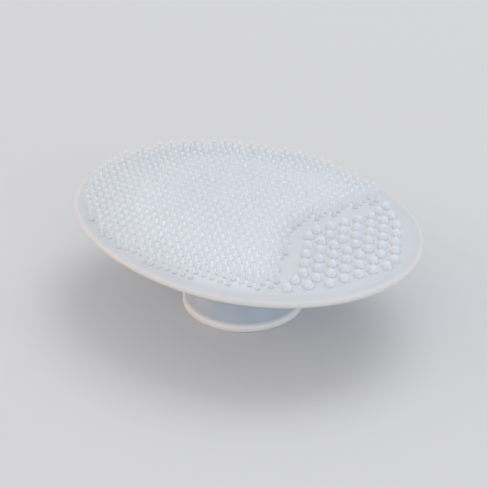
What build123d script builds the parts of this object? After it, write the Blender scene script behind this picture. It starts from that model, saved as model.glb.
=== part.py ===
from build123d import *
import os
from math import atan, ceil, copysign, cos, degrees, floor, hypot, pi, sqrt

# A hand-held facial cleansing brush, moulded in one shot from soft silicone.
# An oval pad carries a field of fine bristles and, at its blunter end, a cluster of
# larger massage nubs. Under the pad a short flexible neck ends in a suction cup.
#
# Frame: millimetres, +Z up, +X along the pad towards the nubs. The origin is the
# centre of the cup's mouth, on the surface that the brush stands on.

# ---------------------------------------------------------------- driving sizes
# Suction cup
LIP_RADIUS = 11.8          # outer radius of the sealing lip
LIP_THICKNESS = 1.3        # height of the lip
LIP_WIDTH = 0.5            # how far the lip stands out from the bell
LIP_EDGE = 0.35            # rounding of the lip's outer edges
BELL_HEIGHT = 6.7          # from the top of the lip to the crown of the bell
BELL_BULGE = 0.8           # how far the flank bows outwards between lip and crown
CUP_WALL = 1.2             # wall of the bell
CROWN_WALL = 1.8           # silicone above the hollow, under the neck

# Neck
NECK_ROOT_RADIUS = 5.6     # where the neck leaves the bell's crown
NECK_WAIST_RADIUS = 4.6    # thinnest place, where the neck bends
NECK_WAIST_HEIGHT = 3.4    # waist above the crown
NECK_FLARE_RADIUS = 8.4    # where the neck runs out into the pad's underside
NECK_UPPER_HEIGHT = 5.6    # waist to the pad's underside

# Pad
PAD_LENGTH = 70.0
PAD_WIDTH = 54.0
WIDEST_AT = 3.0            # the widest section lies this far towards the nubs
RIM_THICKNESS = 1.2        # full round rim
DOME_RISE = 1.3            # the face bulges this much above the rim

# Bristles
BRISTLE_PITCH = 1.7        # square grid
BRISTLE_HEIGHT = 2.85
BRISTLE_ROOT_RADIUS = 0.42
BRISTLE_TIP_RADIUS = 0.3
BRISTLE_SIDES = 5
TAIL_MARGIN = 2.75         # bare face between the pad's plain end and the oval field
NUB_END_MARGIN = 4.45      # the same at the nubs' end, where the notch cuts it short
SIDE_MARGIN = 2.7          # the same along each side
NOTCH_GAP = 3.9            # from the V-shaped notch's apex to the first nubs
NOTCH_SLOPE = 0.42         # run along X for each millimetre across

# Massage nubs
NUB_PITCH = 2.72
NUB_HEIGHT = 1.25
NUB_RADIUS = 0.88
NUB_SHOULDER_RADIUS = 0.74
NUB_CROWN = 0.36           # chamfer that stands for the rounded top
NUB_SIDES = 6
NUB_MARGIN = 3.68          # from the pad's end to the last nubs' centres
NUB_ROWS = 7               # rows on each side of the middle; the middle ones hold as many nubs
NUB_STAGGER_ROWS = 4       # each of these rows starts half a pitch further out

SEAT_DEPTH = 0.3           # stock below the face that is trimmed off at the seat

# ---------------------------------------------------------------- derived places
LIP_TOP = LIP_THICKNESS
BELL_FOOT_RADIUS = LIP_RADIUS - LIP_WIDTH
CROWN_Z = LIP_TOP + BELL_HEIGHT
WAIST_Z = CROWN_Z + NECK_WAIST_HEIGHT
PAD_BOTTOM = WAIST_Z + NECK_UPPER_HEIGHT
RIM_TOP = PAD_BOTTOM + RIM_THICKNESS
PAD_APEX = RIM_TOP + DOME_RISE
HALF_WIDTH = PAD_WIDTH / 2
EDGE_RADIUS = RIM_THICKNESS / 2
FACE_REACH = HALF_WIDTH - EDGE_RADIUS
FACE_RADIUS = (FACE_REACH**2 + DOME_RISE**2) / (2 * DOME_RISE)
NUB_END_STRETCH = (PAD_LENGTH / 2 - WIDEST_AT) / HALF_WIDTH
TAIL_END_STRETCH = (PAD_LENGTH / 2 + WIDEST_AT) / HALF_WIDTH
FIELD_LENGTH = PAD_LENGTH - TAIL_MARGIN - NUB_END_MARGIN
FIELD_WIDTH = PAD_WIDTH - 2 * SIDE_MARGIN
FIELD_CENTRE = (TAIL_MARGIN - NUB_END_MARGIN) / 2
NUB_START = PAD_LENGTH / 2 - NUB_MARGIN - (NUB_ROWS - 1) * NUB_PITCH
NOTCH_APEX = NUB_START - NOTCH_GAP

os.makedirs("parts", exist_ok=True)


def save(name, solids):
    """Write one sub-part; like solids travel together in one file."""
    shape = solids[0] if len(solids) == 1 else Compound(children=solids)
    shape.label = name
    export_step(shape, f"parts/{name}.step")


# ---------------------------------------------------------------- suction cup
def flank(foot, foot_z, top, top_z):
    """Bowed line of the bell's side, from its foot to its crown."""
    middle = ((foot + top) / 2 + BELL_BULGE, (foot_z + top_z) / 2 + BELL_BULGE)
    return ThreePointArc((foot, foot_z), middle, (top, top_z))


def cup_lip():
    """Flat sealing ring with a rounded outer edge; its underside seats on the tile."""
    inner = BELL_FOOT_RADIUS - CUP_WALL
    with BuildPart() as lip:
        with BuildSketch(Plane.XZ):
            with Locations(((inner + LIP_RADIUS) / 2, LIP_THICKNESS / 2)):
                Rectangle(LIP_RADIUS - inner, LIP_THICKNESS)
        revolve(axis=Axis.Z)
        rims = lip.edges().filter_by(GeomType.CIRCLE)
        fillet([edge for edge in rims if edge.radius > LIP_RADIUS - LIP_EDGE], LIP_EDGE)
    return lip.part.solid()


def suction_cup():
    """Bell above the lip: an open shell with a bowed flank and a thicker crown."""
    foot = BELL_FOOT_RADIUS
    hollow_top = CROWN_Z - CROWN_WALL
    with BuildPart() as bell:
        with BuildSketch(Plane.XZ):
            with BuildLine():
                outer = flank(foot, LIP_TOP, NECK_ROOT_RADIUS, CROWN_Z)
                crown = Line(outer @ 1, (0, CROWN_Z))
                axis = Line(crown @ 1, (0, hollow_top))
                ceiling = Line(axis @ 1, (NECK_ROOT_RADIUS - CUP_WALL, hollow_top))
                inner = flank(foot - CUP_WALL, LIP_TOP, NECK_ROOT_RADIUS - CUP_WALL, hollow_top)
                Line(inner @ 0, outer @ 0)
            make_face()
        revolve(axis=Axis.Z)
    return bell.part.solid()


# ---------------------------------------------------------------- neck
def neck_lower():
    """Lower half of the waisted neck, from the bell's crown to the waist."""
    with BuildPart() as neck:
        with BuildSketch(Plane.XZ):
            with BuildLine():
                waist = (NECK_WAIST_RADIUS, WAIST_Z)
                side = TangentArc(waist, (NECK_ROOT_RADIUS, CROWN_Z), tangent=(0, -1))
                Polyline(side @ 1, (0, CROWN_Z), (0, WAIST_Z), side @ 0)
            make_face()
        revolve(axis=Axis.Z)
    return neck.part.solid()


def neck_upper():
    """Upper half of the neck, flaring from the waist into the pad's underside."""
    with BuildPart() as neck:
        with BuildSketch(Plane.XZ):
            with BuildLine():
                waist = (NECK_WAIST_RADIUS, WAIST_Z)
                side = TangentArc(waist, (NECK_FLARE_RADIUS, PAD_BOTTOM), tangent=(0, 1))
                Polyline(side @ 1, (0, PAD_BOTTOM), (0, WAIST_Z), side @ 0)
            make_face()
        revolve(axis=Axis.Z)
    return neck.part.solid()


# ---------------------------------------------------------------- pad
def pad_half(direction, stretch):
    """Half of the pad on one side of its widest section, stretched along X."""
    with BuildSketch(Plane.YZ) as section:
        with BuildLine():
            rim_start = (FACE_REACH, PAD_BOTTOM)
            rim_end = (FACE_REACH, RIM_TOP)
            ThreePointArc(rim_start, (HALF_WIDTH, PAD_BOTTOM + EDGE_RADIUS), rim_end)
            face_middle = (FACE_REACH / 2, face_height(FACE_REACH / 2))
            ThreePointArc(rim_end, face_middle, (0, PAD_APEX))
            Polyline((0, PAD_APEX), (0, PAD_BOTTOM), rim_start)
        make_face()
    half = revolve(section.sketch, axis=Axis.Z, revolution_arc=-180 * direction)
    return scale(half, by=(stretch, 1, 1))


def face_height(reach):
    """Height of the domed face at a distance from its apex, in the widest section."""
    return PAD_APEX - FACE_RADIUS + sqrt(FACE_RADIUS**2 - reach**2)


def pad_plate():
    """Egg-shaped pad of two half ovals that share the widest section."""
    halves = pad_half(1, NUB_END_STRETCH) + pad_half(-1, TAIL_END_STRETCH)
    return halves.moved(Location((WIDEST_AT, 0, 0))).solid()


def seat(x, y):
    """Plane that touches the domed face at a place on the pad."""
    stretch = NUB_END_STRETCH if x > WIDEST_AT else TAIL_END_STRETCH
    along = (x - WIDEST_AT) / stretch
    reach = hypot(along, y)
    drop = sqrt(FACE_RADIUS**2 - reach**2)
    normal = (along / stretch / drop, y / drop, 1)
    return Plane(origin=(x, y, face_height(reach)), z_dir=normal)


# ---------------------------------------------------------------- bristles and nubs
def post(sides, foot, foot_radius, top, top_radius):
    """Upright moulded post that tapers from a polygon at its foot to one at its top."""
    draft = (foot_radius - top_radius) * cos(pi / sides) / (top - foot)
    ring = Plane.XY.offset(foot) * RegularPolygon(foot_radius, sides)
    return extrude(ring, amount=top - foot, taper=degrees(atan(draft)))


def planted(shape, x, y):
    """Stand a post on the domed face, with its foot trimmed to the face."""
    ground = seat(x, y)
    return split(shape.moved(Location(ground.origin)), bisect_by=ground, keep=Keep.TOP).solid()


def bristle_post():
    """One fine bristle, slightly tapered."""
    return post(BRISTLE_SIDES, -SEAT_DEPTH, BRISTLE_ROOT_RADIUS, BRISTLE_HEIGHT, BRISTLE_TIP_RADIUS)


def bristle_row(y, bristle):
    """All bristles of one row across the pad, inside the oval field and the notch."""
    half = FIELD_LENGTH / 2 * sqrt(max(0, 1 - (2 * y / FIELD_WIDTH) ** 2))
    count = floor(half / BRISTLE_PITCH)
    places = [FIELD_CENTRE + step * BRISTLE_PITCH for step in range(-count, count + 1)]
    notch = NOTCH_APEX + NOTCH_SLOPE * abs(y)
    return [planted(bristle, x, y) for x in places if x < notch]


def nub_post():
    """One massage nub: a low tapered post with a crowned top."""
    body = post(NUB_SIDES, -SEAT_DEPTH, NUB_RADIUS, NUB_HEIGHT, NUB_SHOULDER_RADIUS)
    top = body.faces().sort_by(Axis.Z)[-1]
    return chamfer(top.edges(), NUB_CROWN)


def nub_row(row, nub):
    """One row of nubs; rows are numbered outwards from the middle, negative on -Y."""
    side = copysign(1, row)
    step = abs(row) - 1
    y = side * (step + 0.5) * NUB_PITCH
    start = NUB_START + min(step, NUB_STAGGER_ROWS) / 2 * NUB_PITCH
    return [planted(nub, start + place * NUB_PITCH, y) for place in range(NUB_ROWS - step)]


# ---------------------------------------------------------------- the whole brush
save("cup_lip", [cup_lip()])
save("suction_cup", [suction_cup()])
save("neck_lower", [neck_lower()])
save("neck_upper", [neck_upper()])
save("pad_plate", [pad_plate()])

bristle = bristle_post()
rows_each_side = ceil(FIELD_WIDTH / 2 / BRISTLE_PITCH) - 1
for number, row in enumerate(range(-rows_each_side, rows_each_side + 1), start=1):
    save(f"bristle_row_{number:02d}", bristle_row(row * BRISTLE_PITCH, bristle))

nub = nub_post()
nub_rows = [row for row in range(-NUB_ROWS, NUB_ROWS + 1) if row]
for number, row in enumerate(nub_rows, start=1):
    save(f"nub_row_{number:02d}", nub_row(row, nub))
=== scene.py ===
from math import cos, dist, hypot, pi, radians, sin, sqrt, tau
from random import Random

import bmesh
import bpy
from mathutils import Matrix, Vector


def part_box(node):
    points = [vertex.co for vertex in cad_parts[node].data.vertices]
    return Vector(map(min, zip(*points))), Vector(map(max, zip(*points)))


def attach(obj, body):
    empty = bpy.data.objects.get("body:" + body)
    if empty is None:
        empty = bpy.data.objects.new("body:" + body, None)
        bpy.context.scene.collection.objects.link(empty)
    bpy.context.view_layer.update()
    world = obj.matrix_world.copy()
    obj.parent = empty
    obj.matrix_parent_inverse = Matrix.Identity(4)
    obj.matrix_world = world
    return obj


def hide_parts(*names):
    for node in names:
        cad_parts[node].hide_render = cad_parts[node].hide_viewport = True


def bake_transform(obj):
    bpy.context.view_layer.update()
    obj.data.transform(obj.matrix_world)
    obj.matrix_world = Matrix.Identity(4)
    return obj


bl_info = {
    "name": "Silicone Face Brush",
    "version": (1, 0, 0),
    "blender": (4, 5, 0),
    "location": "View3D > Sidebar > Face Brush",
    "description": "Dresses the face brush's frame in moulded silicone, in a plain studio",
    "category": "Object",
}

MM = 0.001
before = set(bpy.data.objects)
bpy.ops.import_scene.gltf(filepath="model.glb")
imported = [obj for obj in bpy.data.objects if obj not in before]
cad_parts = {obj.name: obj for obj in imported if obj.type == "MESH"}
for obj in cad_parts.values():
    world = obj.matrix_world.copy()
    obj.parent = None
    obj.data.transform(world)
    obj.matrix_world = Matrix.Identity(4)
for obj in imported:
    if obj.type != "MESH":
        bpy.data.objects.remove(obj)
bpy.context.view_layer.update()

BRISTLE_ROWS = sorted(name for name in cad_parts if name.startswith("bristle_row"))
NUB_ROWS = sorted(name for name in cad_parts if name.startswith("nub_row"))


# ---------------------------------------------------------------- kinds of property
def linear(code):
    """Linear RGBA of an sRGB hex colour."""
    channels = [int(code[place:place + 2], 16) / 255 for place in (1, 3, 5)]
    return [c / 12.92 if c <= 0.04045 else ((c + 0.055) / 1.055) ** 2.4 for c in channels] + [1.0]


def colour(label, description, code):
    """A colour property with an sRGB hex default."""
    return bpy.props.FloatVectorProperty(
        name=label, description=description, default=linear(code),
        subtype="COLOR", size=4, min=0, max=1,
    )


def length(label, description, millimetres):
    """A length property, given in millimetres and kept in metres."""
    return bpy.props.FloatProperty(
        name=label, description=description, default=millimetres * MM, unit="LENGTH", precision=5
    )


def angle(label, description, degrees):
    """An angle property, given in degrees and kept in radians."""
    return bpy.props.FloatProperty(
        name=label, description=description, default=radians(degrees), subtype="ANGLE"
    )


def divisions(description, number, fewest):
    """A number of divisions round a piece."""
    return bpy.props.IntProperty(
        name="Segments", description=description, default=number, min=fewest
    )


# ---------------------------------------------------------------- sizes read from the frame
SAME_HEIGHT = 0.01 * MM    # heights closer than this count as one
POST_GAP = 0.4 * MM        # a wider step along a row leads on to the next post
CORNER_DECIMALS = 7        # decimals of a metre to which corners are told apart


def vertices_of(node):
    """Places of a frame node's vertices."""
    return [vertex.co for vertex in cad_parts[node].data.vertices]


def widest_radius(node, height):
    """Largest distance from the vertical axis among a node's vertices at a height."""
    return max(
        hypot(co.x, co.y) for co in vertices_of(node) if abs(co.z - height) < SAME_HEIGHT
    )


def posts_in(node):
    """Middle and top of each post in a row: (x, y, highest z)."""
    places = sorted(vertices_of(node), key=lambda co: co.x)
    groups = [[places[0]]]
    for before, after in zip(places, places[1:]):
        if after.x - before.x > POST_GAP:
            groups.append([])
        groups[-1].append(after)
    posts = []
    for group in groups:
        high = max(co.z for co in group)
        corners = {
            (round(co.x, CORNER_DECIMALS), round(co.y, CORNER_DECIMALS))
            for co in group if high - co.z < SAME_HEIGHT
        }
        x = sum(corner[0] for corner in corners) / len(corners)
        y = sum(corner[1] for corner in corners) / len(corners)
        posts.append((x, y, high))
    return posts


LIP_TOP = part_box("cup_lip")[1].z
LIP_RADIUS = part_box("cup_lip")[1].x
BELL_FOOT = widest_radius("suction_cup", LIP_TOP)
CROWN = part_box("suction_cup")[1].z
NECK_ROOT = widest_radius("neck_lower", CROWN)
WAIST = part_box("neck_lower")[1].z
WAIST_RADIUS = widest_radius("neck_lower", WAIST)
PAD_LOW, PAD_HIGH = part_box("pad_plate")
FLARE_RADIUS = widest_radius("neck_upper", PAD_LOW.z)

# The pad's widest section: its place along the pad, its half width and its full round edge.
widest = max(vertices_of("pad_plate"), key=lambda co: co.y)
WIDEST_AT = widest.x
HALF_WIDTH = widest.y
EDGE_RADIUS = widest.z - PAD_LOW.z
FACE_REACH = HALF_WIDTH - EDGE_RADIUS
FACE_RISE = PAD_HIGH.z - PAD_LOW.z - 2 * EDGE_RADIUS
FACE_RADIUS = (FACE_REACH**2 + FACE_RISE**2) / (2 * FACE_RISE)


def stretch_at(along):
    """How much longer than a circle the pad's half oval is, on this side of its widest section."""
    end = PAD_HIGH.x if along > 0 else PAD_LOW.x
    return abs(end - WIDEST_AT) / HALF_WIDTH


def reach_of(x, y):
    """Distance from the pad's middle, with each half oval drawn in to half a circle."""
    along = x - WIDEST_AT
    return hypot(along / stretch_at(along), y)


def dome_height(reach):
    """Height of the pad's domed face at a reach from its middle."""
    return PAD_HIGH.z - FACE_RADIUS + sqrt(FACE_RADIUS**2 - reach**2)


def face_height(x, y):
    """Height of the pad's domed face at a place on it."""
    return dome_height(reach_of(x, y))


# How far the bristle field reaches from the pad's middle
FIELD_REACH = max(reach_of(x, y) for row in BRISTLE_ROWS for x, y, high in posts_in(row))


# ---------------------------------------------------------------- settings
class FaceBrushPadSettings(bpy.types.PropertyGroup):
    segments: divisions("Divisions round the pad", 240, 24)


class FaceBrushBristleSettings(bpy.types.PropertyGroup):
    root_radius: length("Root radius", "Radius of a bristle just above its fillet", 0.4)
    tip_radius: length("Tip radius", "Radius of a bristle's round tip", 0.32)
    fillet: length("Fillet", "Radius where a bristle runs out into the pad", 0.15)
    lean: length("Lean", "Most that a tip stands away from its root", 0.08)
    segments: divisions("Divisions round a bristle", 14, 6)
    # How deep into the field the painted light among the bristles reaches.
    painted_light_depth: length("Crowd depth", "From the field's outline to where light gathers fully", 8)
    notch_apex: length("Notch apex", "Where the field's notch starts along the pad", 11.1)
    notch_slope: bpy.props.FloatProperty(
        name="Notch slope", description="Run of the notch along the pad for each length across",
        default=0.42
    )
    seed: bpy.props.IntProperty(name="Seed", description="Which way the tips lean", default=7)


class FaceBrushNubSettings(bpy.types.PropertyGroup):
    root_radius: length("Root radius", "Radius of a nub just above its fillet", 0.82)
    top_radius: length("Top radius", "Radius of a nub's domed top", 0.7)
    fillet: length("Fillet", "Radius where a nub runs out into the pad", 0.25)
    segments: divisions("Divisions round a nub", 28, 8)


class FaceBrushCupSettings(bpy.types.PropertyGroup):
    wall: length("Wall", "Thickness of the bell", 1.2)
    crown_wall: length("Crown wall", "Silicone between the hollow and the neck", 1.8)
    bulge: length("Bulge", "How far the flank bows out between lip and crown", 0.8)
    edge: length("Lip edge", "Rounding of the lip's outer edges", 0.35)
    segments: divisions("Divisions round the cup and neck", 144, 24)


class FaceBrushColourSettings(bpy.types.PropertyGroup):
    face: colour("Face", "Milky silicone of the pad, seen from above", "#CFD5DA")
    # Painted light: the face among the bristles is lighter. It stands in for the light that gathers
    # there and cancels the shade between the posts.
    ground: colour("Ground", "The face between the bristles' feet, where light gathers", "#EAEEF2")
    # Painted shade: the thin bare margin is darker than the face. It stands in for dark showing
    # through the thin rubber.
    margin: colour("Margin", "The pad's thin bare margin", "#C8CDD3")
    # Painted light: the band on the round rim stands in for the glow of light carried round its
    # thick edge.
    rim: colour("Rim", "Thick round edges, where light gathers", "#CFCECD")
    # Painted light: the lip's colour makes it the brightest edge. It stands in for light in its
    # thick rubber.
    lip: colour("Lip", "The cup's thick lip, the brightest edge", "#E8E6E4")
    underside: colour("Underside", "The pad's underside and the neck", "#D0D6DC")
    # Painted shade: the outermost rows are darker than the inner bristles, to cancel the side light
    # they catch.
    bristle_edge_painted_shade: colour(
        "Bristle edge", "Bristles of the outermost rows, as dull as the bare face", "#CFD7DD"
    )
    # Painted light: the bristles' feet are lighter than their tips, cancelling the shade between
    # the posts.
    bristle_root_painted_light: colour(
        "Bristle root", "Foot of a bristle, where its neighbours' light gathers", "#D8E0E7"
    )
    # Partly the clear, cool tip and partly painted shade, which tones down the light on the tips'
    # tops.
    bristle_tip_painted_shade: colour("Bristle tip", "Round end of a bristle, clear and cool", "#D2DBE3")
    # Painted light: the nub's foot is lighter, cancelling the shade at its sides.
    nub_root_painted_light: colour("Nub root", "Foot of a nub, where its neighbours' light gathers", "#DAE0E7")
    # Painted shade: the nub's domed top is darker, toning down the light on it.
    nub_top_painted_shade: colour("Nub top", "Domed top of a nub", "#D1D8DE")
    # Painted shade: the thin flank is darker, standing in for the shade of the hollow seen through
    # it.
    flank: colour("Flank", "Thin flank of the bell, with the hollow behind it", "#B4C0CB")
    floor: colour("Floor", "Plain pale floor", "#D2D4D6")


class FaceBrushStageSettings(bpy.types.PropertyGroup):
    azimuth: angle("Azimuth", "Camera's place round the brush, from the front", 32.92)
    elevation: angle("Elevation", "Camera's height above the horizon", 30.35)
    roll: angle("Roll", "Turn of the camera about its own axis", 0.45)
    distance: length("Distance", "From the camera to the point it looks at", 316.5)
    aim_along: length("Aim along", "Place along the pad of the point it looks at", -0.14)
    aim_height: length("Aim height", "Height of the point that the camera looks at", 12.37)
    lens: bpy.props.FloatProperty(
        name="Lens", description="Focal length on a 36 mm sensor, in millimetres", default=122.9
    )
    floor_size: length("Floor size", "Side of the square floor", 6000)


SETTINGS = {
    "face_brush_pad": FaceBrushPadSettings,
    "face_brush_bristles": FaceBrushBristleSettings,
    "face_brush_nubs": FaceBrushNubSettings,
    "face_brush_cup": FaceBrushCupSettings,
    "face_brush_colours": FaceBrushColourSettings,
    "face_brush_stage": FaceBrushStageSettings,
}


# ---------------------------------------------------------------- meshes
CREASE = radians(40)    # a corner sharper than this stays a crisp edge


def arc(centre, radius, start, stop, steps):
    """Points of an arc in a profile, (distance from the axis, height), angles in turns."""
    points = []
    for step in range(steps + 1):
        turned = tau * (start + (stop - start) * step / steps)
        points.append((centre[0] + radius * cos(turned), centre[1] + radius * sin(turned)))
    return points


def line(start, stop, steps):
    """Points along a straight stretch of a profile, without its last one."""
    return [
        tuple(a + (b - a) * step / steps for a, b in zip(start, stop)) for step in range(steps)
    ]


def bow(start, middle, stop, steps):
    """Points of the circular arc through three points of a profile."""
    (ax, ay), (bx, by), (cx, cy) = start, middle, stop
    twice = 2 * (ax * (by - cy) + bx * (cy - ay) + cx * (ay - by))
    a, b, c = ax * ax + ay * ay, bx * bx + by * by, cx * cx + cy * cy
    ux = (a * (by - cy) + b * (cy - ay) + c * (ay - by)) / twice
    uy = (a * (cx - bx) + b * (ax - cx) + c * (bx - ax)) / twice
    centre = Vector((ux, uy))
    first = Vector(start) - centre
    turn = first.angle_signed(Vector(stop) - centre)
    points = []
    for step in range(steps + 1):
        spoke = Matrix.Rotation(-turn * step / steps, 2) @ first
        points.append(tuple(centre + spoke))
    return points


def shares_along(profile):
    """Share of a profile's length at each of its points."""
    runs = [0.0]
    for before, after in zip(profile, profile[1:]):
        runs.append(runs[-1] + dist(before, after))
    return [run / runs[-1] for run in runs]


def round_axis(distance, turned, height):
    """Place on a plain round moulding."""
    return Vector((distance * cos(turned), distance * sin(turned), height))


def lathe(mesh, profile, segments, place=round_axis):
    """Turn a profile of (distance, height) points about an axis. A point on it becomes a pole.

    place makes a vector of a distance, an angle and a height. The UV map holds the share of a
    turn and the share of the profile's length."""
    uv = mesh.loops.layers.uv.verify()
    shares = shares_along(profile)
    rings = []
    for distance, height in profile:
        count = segments if distance > 0 else 1
        rings.append([
            mesh.verts.new(place(distance, tau * turn / segments, height)) for turn in range(count)
        ])
    for step, (low, high) in enumerate(zip(rings, rings[1:])):
        for turn in range(segments):
            corners = {}
            for ring, spot, level in (
                (low, turn, step), (low, turn + 1, step),
                (high, turn + 1, step + 1), (high, turn, step + 1),
            ):
                corners.setdefault(ring[spot % len(ring)], (spot / segments, shares[level]))
            face = mesh.faces.new(corners)
            for loop in face.loops:
                loop[uv].uv = corners[loop.vert]


def piece(name, mesh, material, nodes):
    """Finish a mesh as a smooth object that stands for the given frame nodes."""
    bmesh.ops.recalc_face_normals(mesh, faces=mesh.faces)
    data = bpy.data.meshes.new(name)
    mesh.to_mesh(data)
    mesh.free()
    data.shade_smooth()
    data.set_sharp_from_angle(angle=CREASE)
    data.materials.append(material)
    made = bpy.data.objects.new(name, data)
    bpy.context.scene.collection.objects.link(made)
    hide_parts(*nodes)
    return made


# ---------------------------------------------------------------- materials
SILICONE_IOR = 1.41
CLOUD_SIZE = 9 * MM            # slow clouding in the body of the rubber
CLOUD_SHADES = (0.96, 1.03)    # how far it dims and lifts the colour
GRAIN_SIZE = 0.4 * MM          # the mould's satin grain, drawn about ten times too coarse, to show
GRAIN_HEIGHT = 0.02 * MM
GRAIN_STRENGTH = 0.25
BLOOM_ROUGHNESS = 0.6


def node(tree, kind, settings=None, links=None):
    """Add a node. Settings are its attributes or input values, links join its inputs to outputs."""
    made = tree.nodes.new(kind)
    for key, value in (settings or {}).items():
        if hasattr(made, str(key)):
            setattr(made, key, value)
        else:
            made.inputs[key].default_value = value
    for key, output in (links or {}).items():
        tree.links.new(output, made.inputs[key])
    return made


def profile_tone(*stops):
    """Tone that changes along a moulding's profile; stops are (share of its length, colour)."""

    def tone(tree, where):
        along = node(tree, "ShaderNodeSeparateXYZ", links={"Vector": where.outputs["UV"]})
        made = node(tree, "ShaderNodeValToRGB", links={"Fac": along.outputs["Y"]})
        ramp = made.color_ramp.elements
        ramp[0].position, ramp[0].color = stops[0]
        ramp[1].position, ramp[1].color = stops[-1]
        for share, shade in stops[1:-1]:
            ramp.new(share).color = shade
        return made.outputs["Color"]

    return tone


# Mask for the painted light and shade among the bristles.
def painted_light_mask(tree, where, bristles):
    """How far a place lies inside the crowd of bristles: 0 at the field's outline, 1 from the
    crowd's depth inwards. The V-shaped notch is outside: it starts at its apex along the pad and
    runs on by its slope for each length across."""
    place = node(tree, "ShaderNodeSeparateXYZ", links={"Vector": where.outputs["Object"]})
    along = node(
        tree, "ShaderNodeMath", {"operation": "SUBTRACT", 1: WIDEST_AT}, {0: place.outputs["X"]}
    )
    # Each half oval is drawn in by its own stretch, so that the reach is that of a circle.
    halves = {}
    for key, (side, operation) in enumerate(((1, "MAXIMUM"), (-1, "MINIMUM"))):
        half = node(
            tree, "ShaderNodeMath", {"operation": operation, 1: 0.0},
            {0: along.outputs["Value"]},
        )
        scaled = node(
            tree, "ShaderNodeMath", {"operation": "MULTIPLY", 1: 1 / stretch_at(side)},
            {0: half.outputs["Value"]},
        )
        halves[key] = scaled.outputs["Value"]
    drawn_in = node(tree, "ShaderNodeMath", links=halves)
    spot = node(
        tree, "ShaderNodeCombineXYZ",
        links={"X": drawn_in.outputs["Value"], "Y": place.outputs["Y"]},
    )
    reach = node(
        tree, "ShaderNodeVectorMath", {"operation": "LENGTH"}, {"Vector": spot.outputs["Vector"]}
    )
    inside = node(
        tree, "ShaderNodeMapRange",
        {"From Min": FIELD_REACH, "From Max": FIELD_REACH - bristles.painted_light_depth},
        {"Value": reach.outputs["Value"]},
    )
    across = node(
        tree, "ShaderNodeMath", {"operation": "ABSOLUTE"}, {0: place.outputs["Y"]}
    )
    past = node(
        tree, "ShaderNodeMath", {"operation": "MULTIPLY_ADD", 1: -bristles.notch_slope},
        {0: across.outputs["Value"], 2: place.outputs["X"]},
    )
    apex = bristles.notch_apex
    before = node(
        tree, "ShaderNodeMapRange",
        {"From Min": apex, "From Max": apex - bristles.painted_light_depth / 2},
        {"Value": past.outputs["Value"]},
    )
    both = node(
        tree, "ShaderNodeMath", {"operation": "MULTIPLY"},
        {0: before.outputs["Result"], 1: inside.outputs["Result"]},
    )
    return both.outputs["Value"]


def painted_light_tone(bare, painted_inner_tone, bristles):
    """Tone that runs from bare, outside the crowd of bristles, to a painted light tone deep inside
    it, standing in for the light that gathers among the posts. Either is a colour or a tone of its
    own."""
    shades = {6: bare, 7: painted_inner_tone}    # a colour Mix node's A and B sockets

    def tone(tree, where):
        settings = {key: shade for key, shade in shades.items() if not callable(shade)}
        links = {key: shade(tree, where) for key, shade in shades.items() if callable(shade)}
        mixed = node(
            tree, "ShaderNodeMix", {"data_type": "RGBA", **settings},
            {0: painted_light_mask(tree, where, bristles), **links},
        )
        return mixed.outputs[2]       # the node's colour result

    return tone


def silicone(name, tone, depth, roughness, clear=0.0, passing=0.0, bloom=0.0):
    """Liquid silicone rubber, moulded against satin steel: milky, with light carried a few
    millimetres through it, so thick round ends glow and thin walls look cooler and darker.
    The highlight is dull and the mould leaves a faint grain.

    tone is the base colour, or a tone that makes it; depth is how far light is carried; clear is
    how glassy the rubber is. passing is the share of the light on a thin post that goes on through
    it, so that a crowd of posts keeps no dark gaps. bloom is the powdery haze that a matt mould
    leaves on a thin wall, which lightens the sides that turn away."""
    material = bpy.data.materials.new(name)
    material.use_nodes = True
    tree = material.node_tree
    tree.nodes.clear()
    where = node(tree, "ShaderNodeTexCoord")
    cloud = node(
        tree, "ShaderNodeTexNoise", {"Scale": 1 / CLOUD_SIZE, "Detail": 3},
        {"Vector": where.outputs["Object"]},
    )
    haze = node(
        tree, "ShaderNodeMapRange", {"To Min": CLOUD_SHADES[0], "To Max": CLOUD_SHADES[1]},
        {"Value": cloud.outputs["Fac"]},
    )
    plain = {} if callable(tone) else {"Vector": tone[:3]}
    varied = {"Vector": tone(tree, where)} if callable(tone) else {}
    clouded = node(
        tree, "ShaderNodeVectorMath", {"operation": "SCALE", **plain},
        {"Scale": haze.outputs["Result"], **varied},
    )
    grain = node(
        tree, "ShaderNodeTexNoise", {"Scale": 1 / GRAIN_SIZE, "Detail": 2},
        {"Vector": where.outputs["Object"]},
    )
    bump = node(
        tree, "ShaderNodeBump", {"Strength": GRAIN_STRENGTH, "Distance": GRAIN_HEIGHT},
        {"Height": grain.outputs["Fac"]},
    )
    shader = node(
        tree, "ShaderNodeBsdfPrincipled",
        {
            "subsurface_method": "RANDOM_WALK",
            "Roughness": roughness,
            "IOR": SILICONE_IOR,
            "Subsurface Weight": 1.0,
            "Subsurface Radius": (1.0, 1.0, 1.0),
            "Subsurface Scale": depth,
            "Transmission Weight": clear,
            "Sheen Weight": bloom,
            "Sheen Roughness": BLOOM_ROUGHNESS,
        },
        {"Base Color": clouded.outputs["Vector"], "Normal": bump.outputs["Normal"]},
    )
    surface = shader.outputs["BSDF"]
    if passing:
        ray = node(tree, "ShaderNodeLightPath")
        light = node(
            tree, "ShaderNodeMath", {"operation": "MAXIMUM"},
            {0: ray.outputs["Is Shadow Ray"], 1: ray.outputs["Is Diffuse Ray"]},
        )
        share = node(
            tree, "ShaderNodeMath", {"operation": "MULTIPLY", 1: passing},
            {0: light.outputs["Value"]},
        )
        onward = node(tree, "ShaderNodeBsdfTransparent")
        mixed = node(
            tree, "ShaderNodeMixShader",
            links={0: share.outputs["Value"], 1: surface, 2: onward.outputs["BSDF"]},
        )
        surface = mixed.outputs["Shader"]
    node(tree, "ShaderNodeOutputMaterial", links={"Surface": surface})
    return material


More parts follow.
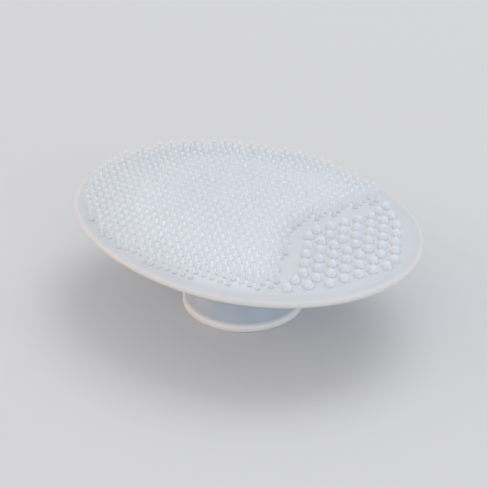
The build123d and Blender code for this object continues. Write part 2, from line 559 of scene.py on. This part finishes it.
def painted_floor(tint):
    """Matt painted board: even, with no gloss, so it shows only the brush's soft shadow."""
    material = bpy.data.materials.new("matt_painted_board")
    material.use_nodes = True
    shader = material.node_tree.nodes["Principled BSDF"]
    shader.inputs["Base Color"].default_value = tint
    shader.inputs["Roughness"].default_value = 0.9
    shader.inputs["Specular IOR Level"].default_value = 0.1
    return material


# ---------------------------------------------------------------- operators
class FACEBRUSH_OT_pad(bpy.types.Operator):
    """Make the domed, egg-shaped pad with its full round rim"""

    bl_idname = "facebrush.pad"
    bl_label = "Pad"

    def execute(self, context):
        scene = context.scene
        face_rings, rim_steps, under_rings = 44, 14, 30
        reaches = [FACE_REACH * ring / face_rings for ring in range(face_rings)]
        face = [(reach, dome_height(reach)) for reach in reaches]
        rim = arc((FACE_REACH, PAD_LOW.z + EDGE_RADIUS), EDGE_RADIUS, 0.25, -0.25, rim_steps)
        middle = (0, PAD_LOW.z)
        under = line((FACE_REACH, PAD_LOW.z), middle, under_rings)[1:] + [middle]

        def on_pad(distance, turned, height):
            along = stretch_at(cos(turned)) * distance * cos(turned)
            return Vector((WIDEST_AT + along, distance * sin(turned), height))

        mesh = bmesh.new()
        lathe(mesh, face + rim + under, scene.face_brush_pad.segments, on_pad)

        # The profile's face ends at the share edge, and its half-round rim takes the share width.
        profile_length = 2 * FACE_REACH + pi * EDGE_RADIUS
        edge = FACE_REACH / profile_length
        width = pi * EDGE_RADIUS / profile_length
        tints = scene.face_brush_colours
        # Painted shade on the thin margin and painted light on the rim's band; inside the bristle
        # field the ground's painted light takes over.
        bare = profile_tone(
            (0.0, tints.face), (edge - 2 * width, tints.face),
            (edge - 0.2 * width, tints.margin),
            (edge + 0.4 * width, tints.rim), (edge + 0.8 * width, tints.rim),
            (edge + 1.2 * width, tints.underside), (1.0, tints.underside),
        )
        tone = painted_light_tone(bare, tints.ground, scene.face_brush_bristles)
        material = silicone("moulded_silicone_pad", tone, depth=1.4 * MM, roughness=0.42)
        made = piece("pad_moulding", mesh, material, ["pad_plate"])
        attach(made, "pad")
        return {"FINISHED"}


def post_profile(root, top, fillet, rise):
    """Profile of a moulded post from the pad's face up: fillet, straight taper and a round top."""
    fillet_steps, shaft_steps, cap_steps = 4, 3, 6
    foot = []
    for step in range(fillet_steps + 1):
        turned = pi / 2 * step / fillet_steps
        foot.append((root + fillet * (1 - sin(turned)), fillet * (1 - cos(turned))))
    shaft = line(foot[-1], (top, rise - top), shaft_steps)[1:]
    cap = arc((0, rise - top), top, 0, 0.25, cap_steps)[:-1]
    return foot + shaft + cap + [(0, rise)]


def planted(x, y, rise, lean=0, towards=0):
    """Placing function of a post on the domed face: its foot follows the face, its tip may lean."""
    ground = face_height(x, y)

    def on_face(distance, turned, height):
        share = min(1.0, height / rise)
        across = Vector((
            x + distance * cos(turned) + lean * share**2 * cos(towards),
            y + distance * sin(turned) + lean * share**2 * sin(towards),
            0,
        ))
        across.z = height + face_height(across.x, across.y) * (1 - share) + ground * share
        return across

    return on_face


class FACEBRUSH_OT_bristles(bpy.types.Operator):
    """Make the field of fine bristles, row by row, each on its place in the frame"""

    bl_idname = "facebrush.bristles"
    bl_label = "Bristles"

    def execute(self, context):
        bristles = context.scene.face_brush_bristles
        tints = context.scene.face_brush_colours
        # Painted light at the bristles' feet, painted shade at their tips, and painted shade on the
        # outermost rows.
        painted_inner_tone = profile_tone(
            (0.0, tints.bristle_root_painted_light), (0.6, tints.bristle_root_painted_light),
            (0.85, tints.bristle_tip_painted_shade), (1.0, tints.bristle_tip_painted_shade),
        )
        tone = painted_light_tone(tints.bristle_edge_painted_shade, painted_inner_tone, bristles)
        material = silicone(
            "moulded_silicone_bristles", tone,
            depth=1.2 * MM, roughness=0.8, clear=0.1, passing=0.9,
        )
        root, tip, fillet = bristles.root_radius, bristles.tip_radius, bristles.fillet
        draw = Random(bristles.seed)
        for row in BRISTLE_ROWS:
            mesh = bmesh.new()
            for x, y, high in posts_in(row):
                rise = high - face_height(x, y)
                towards = draw.uniform(0, tau)
                place = planted(x, y, rise, bristles.lean * draw.random(), towards)
                lathe(mesh, post_profile(root, tip, fillet, rise), bristles.segments, place)
            made = piece(f"{row}_moulding", mesh, material, [row])
            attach(made, "pad")
        return {"FINISHED"}


class FACEBRUSH_OT_nubs(bpy.types.Operator):
    """Make the cluster of round massage nubs, row by row"""

    bl_idname = "facebrush.nubs"
    bl_label = "Nubs"

    def execute(self, context):
        nubs = context.scene.face_brush_nubs
        tints = context.scene.face_brush_colours
        # Painted light at the nubs' feet and painted shade on their tops.
        tone = profile_tone(
            (0.0, tints.face), (0.15, tints.nub_root_painted_light), (0.45, tints.nub_root_painted_light),
            (0.8, tints.nub_top_painted_shade), (1.0, tints.nub_top_painted_shade),
        )
        material = silicone(
            "moulded_silicone_nubs", tone, depth=0.8 * MM, roughness=0.7, clear=0.05, passing=0.8
        )
        root, top, fillet = nubs.root_radius, nubs.top_radius, nubs.fillet
        for row in NUB_ROWS:
            mesh = bmesh.new()
            for x, y, high in posts_in(row):
                rise = high - face_height(x, y)
                profile = post_profile(root, top, fillet, rise)
                lathe(mesh, profile, nubs.segments, planted(x, y, rise))
            made = piece(f"{row}_moulding", mesh, material, [row])
            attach(made, "pad")
        return {"FINISHED"}


def neck_side(radius, height):
    """Arc of the neck's side from its wide end to the waist, upright at the waist."""
    run = radius - WAIST_RADIUS
    rise = height - WAIST
    bend = (run**2 + rise**2) / (2 * run)
    steps = 24
    points = []
    for step in range(steps + 1):
        off = rise * (1 - step / steps)
        points.append((WAIST_RADIUS + bend - sqrt(bend**2 - off**2), WAIST + off))
    return points


class FACEBRUSH_OT_neck(bpy.types.Operator):
    """Make the two halves of the waisted neck"""

    bl_idname = "facebrush.neck"
    bl_label = "Neck"

    def execute(self, context):
        segments = context.scene.face_brush_cup.segments
        tints = context.scene.face_brush_colours
        # Light is carried less far than elsewhere, or it would leak out at the hidden ends.
        material = silicone(
            "moulded_silicone_neck", tints.underside, depth=0.15 * MM, roughness=0.4
        )
        lower = bmesh.new()
        lathe(lower, [(0, CROWN)] + neck_side(NECK_ROOT, CROWN) + [(0, WAIST)], segments)
        foot = piece("neck_lower_moulding", lower, material, ["neck_lower"])
        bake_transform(foot)
        upper = bmesh.new()
        lathe(upper, [(0, PAD_LOW.z)] + neck_side(FLARE_RADIUS, PAD_LOW.z) + [(0, WAIST)], segments)
        head = piece("neck_upper_moulding", upper, material, ["neck_upper"])
        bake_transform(head)
        return {"FINISHED"}


class FACEBRUSH_OT_cup(bpy.types.Operator):
    """Make the suction cup: sealing lip and thin bell in one skin, with its hollow open"""

    bl_idname = "facebrush.cup"
    bl_label = "Suction cup"

    def execute(self, context):
        cup = context.scene.face_brush_cup
        flank_steps, edge_steps = 28, 6
        top_edge_turn = 0.17    # the lip's top edge rounds this far before the flank takes over

        def flank(foot, top):
            middle = (Vector(foot) + Vector(top)) / 2 + Vector((cup.bulge, cup.bulge))
            return bow(foot, middle, top, flank_steps)

        ceiling = CROWN - cup.crown_wall
        inner_foot = BELL_FOOT - cup.wall
        outer = flank((BELL_FOOT, LIP_TOP), (NECK_ROOT, CROWN))
        inner = flank((inner_foot, LIP_TOP), (NECK_ROOT - cup.wall, ceiling))
        edge_middle = LIP_RADIUS - cup.edge
        lip = arc((edge_middle, cup.edge), cup.edge, 0.75, 1.0, edge_steps)
        lip += arc((edge_middle, LIP_TOP - cup.edge), cup.edge, 0.0, top_edge_turn, edge_steps)
        hollow = [(0, ceiling)] + inner[::-1]
        # The top edge covers the flank's first two points.
        skin = hollow + [(inner_foot, 0)] + lip + outer[2:] + [(0, CROWN)]
        mesh = bmesh.new()
        lathe(mesh, skin, cup.segments)

        shares = shares_along(skin)
        lip_start = shares[len(hollow)]
        lip_end = shares[len(hollow) + len(lip)]
        crown = shares[-2]
        soft = 0.014      # share of the profile over which the lip's tone fades on the inside
        fading = 0.1      # share over which the flank's tone turns into the neck's
        tints = context.scene.face_brush_colours
        # Painted light on the lip, the brightest edge, and painted shade on the thin flank for the
        # hollow behind it.
        tone = profile_tone(
            (0.0, tints.flank), (lip_start - soft, tints.flank),
            (lip_start, tints.lip), (lip_end, tints.lip),
            (lip_end + 1.5 * soft, tints.flank), (crown - fading, tints.flank),
            (crown, tints.underside), (1.0, tints.underside),
        )
        material = silicone(
            "moulded_silicone_cup", tone, depth=1.2 * MM, roughness=0.34, bloom=0.5
        )
        nodes = ["cup_lip", "suction_cup"]
        made = piece("suction_cup_moulding", mesh, material, nodes)
        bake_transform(made)
        return {"FINISHED"}


# Name, place in metres, side in metres, power in watts and tint of each soft square light. They
# are large and stand well back, so that they leave no bright spot on the floor.
LIGHTS = (
    ("key_light", (0, 1.2, 2.25), 1.8, 18, "#FFFFFF"),
    ("fill_light", (0.3, -2.4, 1.2), 2.1, 7.2, "#FFFAF6"),
    ("left_light", (-2.0, -1.32, 0.63), 1.2, 13.5, "#FFBC78"),
    ("right_light", (2.04, -0.9, 0.63), 1.2, 8.1, "#F2F6FF"),
)
SKY_TINT = "#F1F2F5"
SKY_STRENGTH = 0.8
SENSOR_WIDTH = 36       # in millimetres
NEAREST_SEEN = 0.01     # in metres; the camera sees nothing nearer


def area_light(name, place, size, power, tint):
    """A soft square light that faces the brush."""
    data = bpy.data.lights.new(name, "AREA")
    data.size = size
    data.energy = power
    data.color = linear(tint)[:3]
    light = bpy.data.objects.new(name, data)
    light.location = place
    light.rotation_euler = (-Vector(place)).to_track_quat("-Z", "Y").to_euler()
    bpy.context.scene.collection.objects.link(light)


class FACEBRUSH_OT_stage(bpy.types.Operator):
    """Make the pale floor, the soft studio light and the camera"""

    bl_idname = "facebrush.stage"
    bl_label = "Stage"

    def execute(self, context):
        scene = context.scene
        stage = scene.face_brush_stage
        mesh = bmesh.new()
        bmesh.ops.create_grid(mesh, x_segments=4, y_segments=4, size=stage.floor_size / 2)
        data = bpy.data.meshes.new("floor")
        mesh.to_mesh(data)
        mesh.free()
        data.materials.append(painted_floor(scene.face_brush_colours.floor))
        floor = bpy.data.objects.new("floor", data)
        scene.collection.objects.link(floor)

        world = bpy.data.worlds.new("studio")
        world.use_nodes = True
        background = world.node_tree.nodes["Background"]
        background.inputs["Color"].default_value = linear(SKY_TINT)
        background.inputs["Strength"].default_value = SKY_STRENGTH
        scene.world = world
        for light in LIGHTS:
            area_light(*light)

        camera = bpy.data.objects.new("camera", bpy.data.cameras.new("camera"))
        camera.data.lens = stage.lens
        camera.data.sensor_width = SENSOR_WIDTH
        camera.data.clip_start = NEAREST_SEEN
        back = Vector((
            sin(stage.azimuth) * cos(stage.elevation),
            -cos(stage.azimuth) * cos(stage.elevation),
            sin(stage.elevation),
        ))
        camera.location = Vector((stage.aim_along, 0, stage.aim_height)) + back * stage.distance
        turn = (-back).to_track_quat("-Z", "Y").to_matrix() @ Matrix.Rotation(stage.roll, 3, "Z")
        camera.rotation_euler = turn.to_euler()
        scene.collection.objects.link(camera)
        scene.camera = camera
        scene.view_settings.view_transform = "Standard"
        return {"FINISHED"}


OPERATORS = [
    FACEBRUSH_OT_pad,
    FACEBRUSH_OT_bristles,
    FACEBRUSH_OT_nubs,
    FACEBRUSH_OT_neck,
    FACEBRUSH_OT_cup,
    FACEBRUSH_OT_stage,
]


class VIEW3D_PT_face_brush(bpy.types.Panel):
    """Pieces of the face brush and their settings"""

    bl_label = "Face Brush"
    bl_space_type = "VIEW_3D"
    bl_region_type = "UI"
    bl_category = "Face Brush"

    def draw(self, context):
        layout = self.layout
        for operator in OPERATORS:
            layout.operator(operator.bl_idname)
        for name, group in SETTINGS.items():
            box = layout.box()
            for setting in group.__annotations__:
                box.prop(getattr(context.scene, name), setting)


def register():
    for group in SETTINGS.values():
        bpy.utils.register_class(group)
    for name, group in SETTINGS.items():
        setattr(bpy.types.Scene, name, bpy.props.PointerProperty(type=group))
    for made in OPERATORS + [VIEW3D_PT_face_brush]:
        bpy.utils.register_class(made)


def unregister():
    for made in reversed(OPERATORS + [VIEW3D_PT_face_brush]):
        bpy.utils.unregister_class(made)
    for name, group in SETTINGS.items():
        delattr(bpy.types.Scene, name)
        bpy.utils.unregister_class(group)


def main():
    """Build every piece and the stage."""
    register()
    for operator in OPERATORS:
        group, name = operator.bl_idname.split(".")
        getattr(getattr(bpy.ops, group), name)()


if __name__ == "__main__":
    main()
